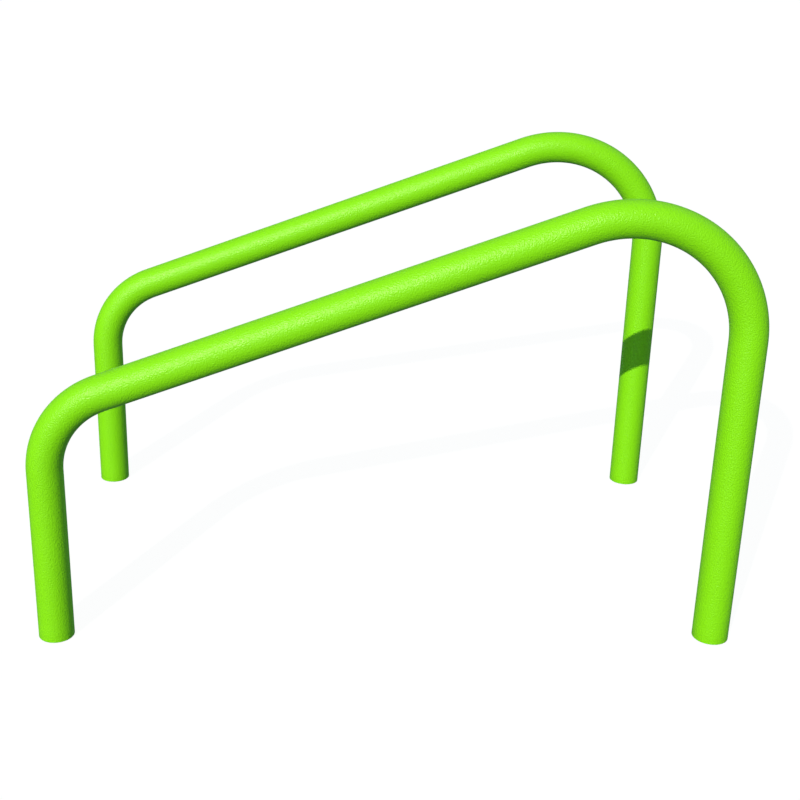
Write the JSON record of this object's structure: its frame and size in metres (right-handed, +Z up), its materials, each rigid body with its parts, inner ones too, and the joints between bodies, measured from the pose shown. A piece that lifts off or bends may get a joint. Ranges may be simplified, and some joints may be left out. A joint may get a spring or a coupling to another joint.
{
  "type": "inclined parallel bars",
  "caption": "Playground bars: parallel bent tubes whose rails climb from short legs at one end to tall legs at the other, open between and below.",
  "frame": {"origin": "on the ground, midway between the four feet, which is the centre of the underside of the bounding box", "axes": "+X along the rails towards the high end, +Y across from the front rail to the rear rail, +Z up"},
  "size_m": [1.1842, 0.7112, 0.7609],
  "materials": {
    "green_coating": "textured lime green powder coat",
    "plate_steel": "cut plate, zinc primed",
    "weld_metal": "as welded"
  },
  "bodies": {
    "root": {"front_rail_tube": "green_coating", "front_low_end_plate": "plate_steel", "front_low_end_weld": "weld_metal", "front_high_end_plate": "plate_steel", "front_high_end_weld": "weld_metal", "rear_rail_tube": "green_coating", "rear_low_end_plate": "plate_steel", "rear_low_end_weld": "weld_metal", "rear_high_end_plate": "plate_steel", "rear_high_end_weld": "weld_metal"}
  },
  "joints": []
}
